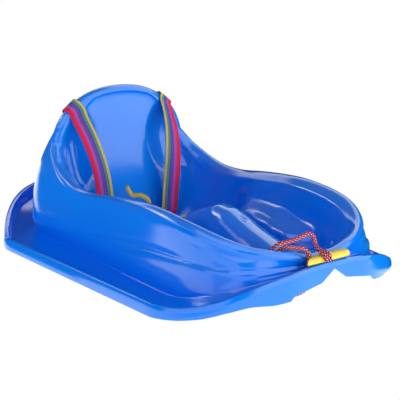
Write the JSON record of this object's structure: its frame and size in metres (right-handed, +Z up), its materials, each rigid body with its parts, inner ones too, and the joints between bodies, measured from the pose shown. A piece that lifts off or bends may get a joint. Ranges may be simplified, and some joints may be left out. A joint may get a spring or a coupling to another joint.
{
  "type": "sled",
  "caption": "Moulded plastic pull sled for a small child, with a high backrest, webbing harness with a side-release buckle, and a tow rope with a tubular handle.",
  "frame": {"origin": "the ground under the middle of the hull's length, on the sled's centre plane", "axes": "+X towards the nose, +Y to the rider's left, +Z up"},
  "size_m": [0.7416, 0.428, 0.2605],
  "materials": {
    "shell": "glossy moulded blue polyethylene",
    "webbing": "woven webbing with lengthwise stripes",
    "fittings": "black nylon",
    "rope": "braided cord, red with white flecks",
    "handle": "smooth yellow plastic"
  },
  "bodies": {
    "sled": {"hull": "shell", "shoulder_strap_left": "webbing", "shoulder_strap_right": "webbing", "strap_keeper_back_left": "fittings", "strap_keeper_back_right": "fittings", "strap_keeper_low_left": "fittings", "strap_keeper_low_right": "fittings", "lap_belt_right": "webbing", "belt_keeper_right": "fittings", "buckle_socket": "fittings", "belt_tail": "webbing", "tow_handle": "handle", "handle_knot": "rope", "stop_knot": "rope", "tow_rope": "rope"},
    "release_side": {"buckle_insert": "fittings", "lap_belt_left": "webbing", "belt_keeper_left": "fittings"}
  },
  "joints": [
    {"name": "buckle_release", "type": "slide", "parent": "sled", "child": "release_side", "axis": [0, 1, 0], "range_m": [0, 0.015]}
  ]
}
